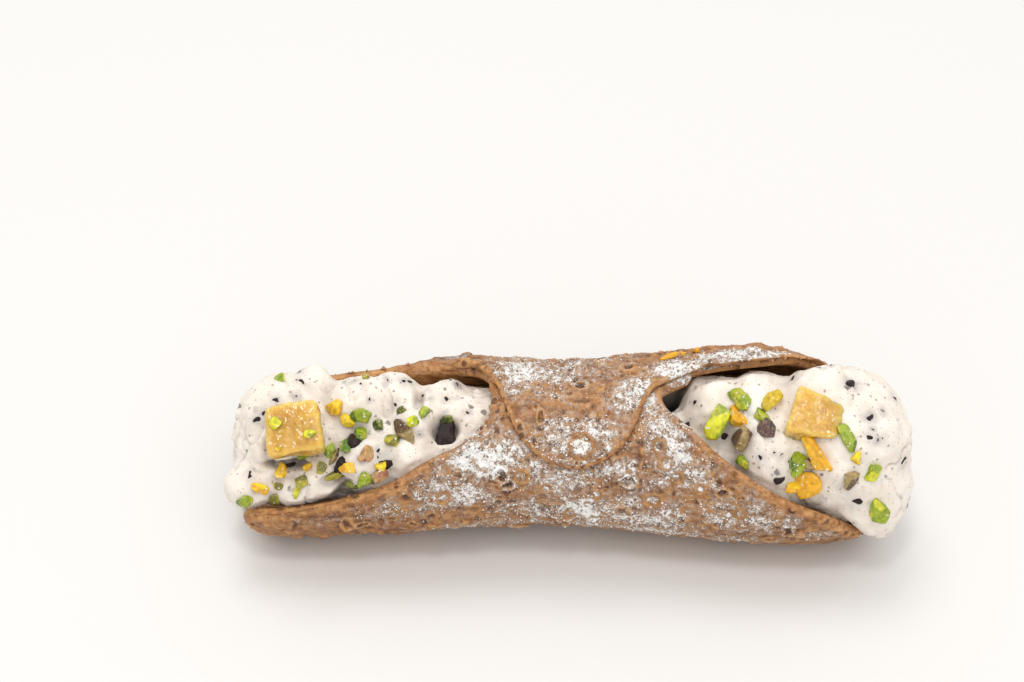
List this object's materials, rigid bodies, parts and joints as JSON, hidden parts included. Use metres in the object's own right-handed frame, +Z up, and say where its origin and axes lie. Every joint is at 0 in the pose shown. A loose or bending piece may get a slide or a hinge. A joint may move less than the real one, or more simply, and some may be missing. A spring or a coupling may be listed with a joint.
{
  "type": "cannolo",
  "caption": "Fried pastry tube with scooped open mouths, filled from end to end with piped ricotta cream and topped with candied orange and chopped pistachio.",
  "frame": {"origin": "middle of the bounding box, on the plane the pastry rests on", "axes": "+X along the tube, +Z up, -Y towards the side its mouths are rolled to"},
  "size_m": [0.1523, 0.0433, 0.0439],
  "materials": {
    "shell": "fried pastry, blistered, brown, dusted with powdered sugar",
    "cream": "moist off-white ricotta cream with chocolate specks",
    "candied_orange": "glossy translucent amber candied peel"
  },
  "bodies": {
    "root": {"shell": "shell", "cream": "cream", "candied_orange_left": "candied_orange", "candied_orange_right": "candied_orange"}
  },
  "joints": []
}
